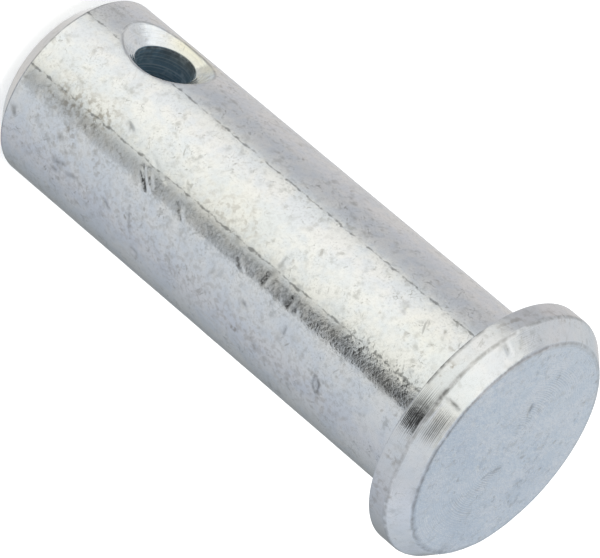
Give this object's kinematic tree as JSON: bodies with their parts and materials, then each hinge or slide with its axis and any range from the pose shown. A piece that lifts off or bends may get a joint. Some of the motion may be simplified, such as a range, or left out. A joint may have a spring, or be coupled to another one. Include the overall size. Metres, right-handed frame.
{
  "type": "clevis pin",
  "caption": "Headed steel pin with a bevelled flat head, a plain round shank, a chamfered tip and a countersunk cross hole for a cotter; it joins a clevis to a rod end.",
  "frame": {"origin": "centre of the tip's flat end face, on the pin's axis, where the pin stands", "axes": "+Z along the pin's axis from the tip to the head; the cotter hole runs along Y"},
  "size_m": [0.019, 0.019, 0.0428],
  "materials": {
    "zinc_plate": "pale blue-white zinc plate on steel, satin, with small dings and scratches"
  },
  "bodies": {
    "root": {"clevis_pin": "zinc_plate"}
  },
  "joints": []
}
